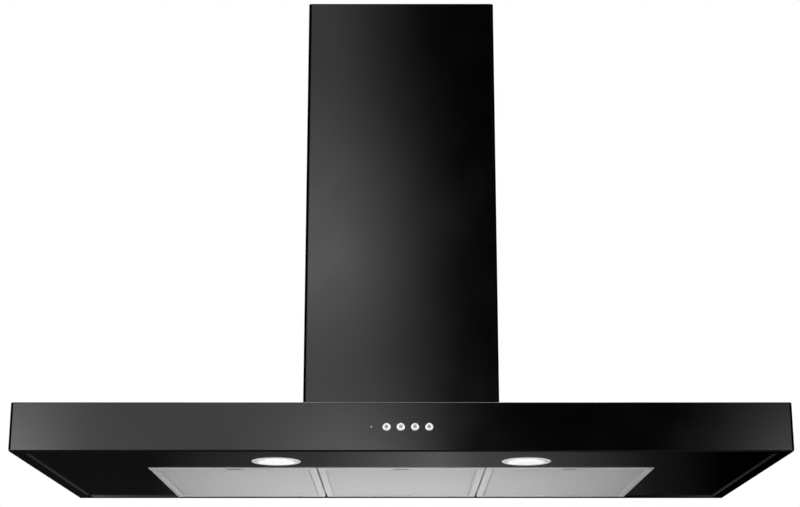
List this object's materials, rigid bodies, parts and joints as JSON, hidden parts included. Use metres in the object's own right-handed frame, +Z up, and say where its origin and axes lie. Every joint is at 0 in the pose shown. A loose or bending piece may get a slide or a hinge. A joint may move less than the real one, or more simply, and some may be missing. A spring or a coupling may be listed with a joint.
{
  "type": "chimney range hood",
  "caption": "Slim black wall-mounted canopy hood with a telescopic rectangular chimney, front push buttons, underside lamps and hinged mesh grease filters.",
  "frame": {"origin": "under the middle of the canopy, level with its underside lips", "axes": "+Z up, +Y towards the wall, X along the canopy's width"},
  "size_m": [1.1, 0.522, 0.778],
  "materials": {
    "black_paint": "semi-gloss black enamel",
    "galvanised": "galvanised sheet",
    "filter_aluminium": "satin anodised frame",
    "filter_mesh": "expanded mesh",
    "latch_metal": "dark satin",
    "spring_steel": "spring wire",
    "lamp_chrome": "polished chrome",
    "lamp_glass": "frosted glass",
    "button_metal": "bright metal cap",
    "led_lens": "clear lens",
    "black_plastic": "moulded",
    "grey_plastic": "moulded",
    "white_plastic": "moulded",
    "board": "circuit board",
    "motor_steel": "zinc plated",
    "lamp_can": "pressed aluminium",
    "screw_steel": "zinc plated"
  },
  "bodies": {
    "hood": {"canopy_shell": "black_paint", "bottom_panel": "black_paint", "rear_panel": "black_paint", "chimney_lower_cover": "black_paint", "blower_box": "galvanised", "scroll_wrap": "galvanised", "scroll_side_left": "galvanised", "scroll_side_right": "galvanised", "motor_bracket": "galvanised", "chimney_cover_screws": "screw_steel", "blower_box_screws": "screw_steel", "scroll_screws": "screw_steel", "motor_bracket_screws": "screw_steel", "collar_screws": "screw_steel", "motor_body": "motor_steel", "run_capacitor": "white_plastic", "outlet_collar": "black_plastic", "terminal_box": "grey_plastic", "terminal_lid": "grey_plastic", "terminal_strip": "white_plastic", "cable_gland": "black_plastic", "led_driver": "white_plastic", "switch_carrier": "black_plastic", "control_board": "board", "key_switches": "black_plastic", "status_led": "led_lens", "lamp_bezel_left": "lamp_chrome", "lamp_lens_left": "lamp_glass", "lamp_housing_left": "lamp_can", "lamp_module_left": "lamp_can", "lamp_bezel_right": "lamp_chrome", "lamp_lens_right": "lamp_glass", "lamp_housing_right": "lamp_can", "lamp_module_right": "lamp_can"},
    "upper_chimney": {"chimney_upper_cover": "black_paint", "chimney_top_bracket": "galvanised", "chimney_bracket_screws": "screw_steel"},
    "fan_wheel": {"impeller": "black_plastic", "motor_shaft": "motor_steel"},
    "front_flap": {"flap_front": "black_plastic"},
    "rear_flap": {"flap_rear": "black_plastic"},
    "button_1": {"button_1": "button_metal"},
    "button_2": {"button_2": "button_metal"},
    "button_3": {"button_3": "button_metal"},
    "button_4": {"button_4": "button_metal"},
    "filter_left": {"filter_frame_left": "filter_aluminium", "filter_grille_left": "filter_mesh", "filter_mesh_left": "filter_mesh"},
    "latch_left": {"filter_latch_left": "latch_metal", "latch_spring_left": "spring_steel"},
    "filter_middle": {"filter_frame_middle": "filter_aluminium", "filter_grille_middle": "filter_mesh", "filter_mesh_middle": "filter_mesh"},
    "latch_middle": {"filter_latch_middle": "latch_metal", "latch_spring_middle": "spring_steel"},
    "filter_right": {"filter_frame_right": "filter_aluminium", "filter_grille_right": "filter_mesh", "filter_mesh_right": "filter_mesh"},
    "latch_right": {"filter_latch_right": "latch_metal", "latch_spring_right": "spring_steel"}
  },
  "joints": [
    {"name": "chimney_extend", "type": "slide", "parent": "hood", "child": "upper_chimney", "axis": [0, 0, 1], "range_m": [0, 0.4]},
    {"name": "fan_spin", "type": "hinge", "parent": "hood", "child": "fan_wheel", "pos_m": [0, 0.106, 0.186], "axis": [1, 0, 0], "continuous": true},
    {"name": "front_flap_open", "type": "hinge", "parent": "hood", "child": "front_flap", "pos_m": [0, 0.163, 0.382], "axis": [-1, 0, 0], "range_deg": [0, 80]},
    {"name": "rear_flap_open", "type": "hinge", "parent": "hood", "child": "rear_flap", "pos_m": [0, 0.173, 0.382], "axis": [1, 0, 0], "range_deg": [0, 80]},
    {"name": "button_1_press", "type": "slide", "parent": "hood", "child": "button_1", "axis": [0, 1, 0], "range_m": [0, 0.0015], "stiffness_N_per_m": 600},
    {"name": "button_2_press", "type": "slide", "parent": "hood", "child": "button_2", "axis": [0, 1, 0], "range_m": [0, 0.0015], "stiffness_N_per_m": 600},
    {"name": "button_3_press", "type": "slide", "parent": "hood", "child": "button_3", "axis": [0, 1, 0], "range_m": [0, 0.0015], "stiffness_N_per_m": 600},
    {"name": "button_4_press", "type": "slide", "parent": "hood", "child": "button_4", "axis": [0, 1, 0], "range_m": [0, 0.0015], "stiffness_N_per_m": 600},
    {"name": "filter_left_open", "type": "hinge", "parent": "hood", "child": "filter_left", "pos_m": [0, 0.25, 0.001], "axis": [1, 0, 0], "range_deg": [0, 75]},
    {"name": "filter_middle_open", "type": "hinge", "parent": "hood", "child": "filter_middle", "pos_m": [0, 0.25, 0.001], "axis": [1, 0, 0], "range_deg": [0, 75]},
    {"name": "filter_right_open", "type": "hinge", "parent": "hood", "child": "filter_right", "pos_m": [0, 0.25, 0.001], "axis": [1, 0, 0], "range_deg": [0, 75]},
    {"name": "latch_left_pull", "type": "slide", "parent": "filter_left", "child": "latch_left", "axis": [0, 1, 0], "range_m": [0, 0.004], "stiffness_N_per_m": 300},
    {"name": "latch_middle_pull", "type": "slide", "parent": "filter_middle", "child": "latch_middle", "axis": [0, 1, 0], "range_m": [0, 0.004], "stiffness_N_per_m": 300},
    {"name": "latch_right_pull", "type": "slide", "parent": "filter_right", "child": "latch_right", "axis": [0, 1, 0], "range_m": [0, 0.004], "stiffness_N_per_m": 300}
  ]
}
